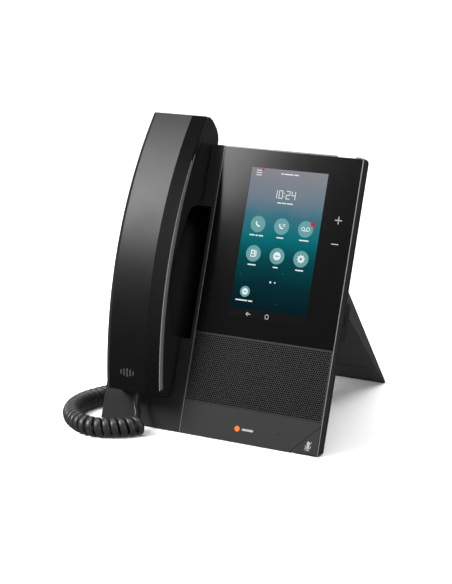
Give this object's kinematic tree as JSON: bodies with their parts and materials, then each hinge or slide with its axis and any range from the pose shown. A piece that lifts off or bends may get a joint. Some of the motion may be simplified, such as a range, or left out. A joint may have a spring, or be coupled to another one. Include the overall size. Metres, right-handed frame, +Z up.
{
  "type": "desk ip phone",
  "caption": "Upright desk phone with a tall touch display, a speaker below it, a corded handset resting in a side cradle and a prop-up stand behind.",
  "frame": {"origin": "on the desk, under the middle of the footprint", "axes": "+Z up, +X to the right of somebody facing the phone, -Y the way the face looks"},
  "size_m": [0.2123, 0.2343, 0.2266],
  "materials": {
    "body_black": "fine matt moulded texture",
    "body_grey": "fine matt moulded texture",
    "handset_black": "satin",
    "display_glass": "polished",
    "grille_plate": "matt with fine perforations",
    "screen": "lit",
    "clear_plastic": "translucent",
    "rubber_parts": "matt",
    "jack_black": "semi gloss",
    "steel_parts": "plain",
    "board": "solder mask",
    "cord_jacket": "satin"
  },
  "bodies": {
    "base": {"front_frame": "body_black", "cradle_housing": "body_black", "rear_housing": "body_grey", "case_screws": "steel_parts", "body_feet": "rubber_parts", "front_glass": "display_glass", "display_panel": "screen", "display_backlight": "screen", "speaker_grille": "grille_plate", "loudspeaker": "steel_parts", "lower_trim": "body_grey", "mute_switch": "jack_black", "light_pipe": "clear_plastic", "message_led": "clear_plastic", "desk_mics": "jack_black", "main_board": "board", "jack_board": "board", "network_jack": "steel_parts", "computer_jack": "steel_parts", "headset_jack": "jack_black", "handset_jack": "jack_black", "usb_port": "steel_parts", "hook_spring": "steel_parts", "hook_switch": "board", "stand_brackets": "body_grey", "stand_pins": "steel_parts", "base_plug": "clear_plastic", "cord_coil": "cord_jacket", "base_tail": "cord_jacket"},
    "handset": {"handset_outer_shell": "handset_black", "handset_inner_shell": "handset_black", "ear_grille": "handset_black", "ear_receiver": "steel_parts", "mouth_grille": "handset_black", "handset_mic": "jack_black", "handset_weight": "steel_parts", "handset_socket": "jack_black", "handset_screws": "steel_parts", "handset_plug": "clear_plastic", "handset_tail": "cord_jacket"},
    "hook": {"hook_plunger": "body_black"},
    "mute": {"mute_key": "body_grey"},
    "stand": {"stand_leg": "body_grey", "stand_cover": "body_grey", "stand_foot_rubber": "rubber_parts"}
  },
  "joints": [
    {"name": "handset_lift", "type": "slide", "parent": "base", "child": "handset", "axis": [0, -0.9472, 0.3206], "range_m": [0, 0.08]},
    {"name": "hook_travel", "type": "slide", "parent": "base", "child": "hook", "axis": [0, -0.9472, 0.3206], "range_m": [0, 0.004]},
    {"name": "mute_press", "type": "slide", "parent": "base", "child": "mute", "axis": [0, 0.9472, -0.3206], "range_m": [0, 0.0006], "stiffness_N_per_m": 250},
    {"name": "stand_hinge", "type": "hinge", "parent": "base", "child": "stand", "pos_m": [0, -0.00324, 0.12224], "axis": [-1, 0, 0], "range_deg": [0, 20]}
  ],
  "couplings": [
    {"joint": "hook_travel", "follows": "handset_lift", "ratio": 0.05}
  ]
}
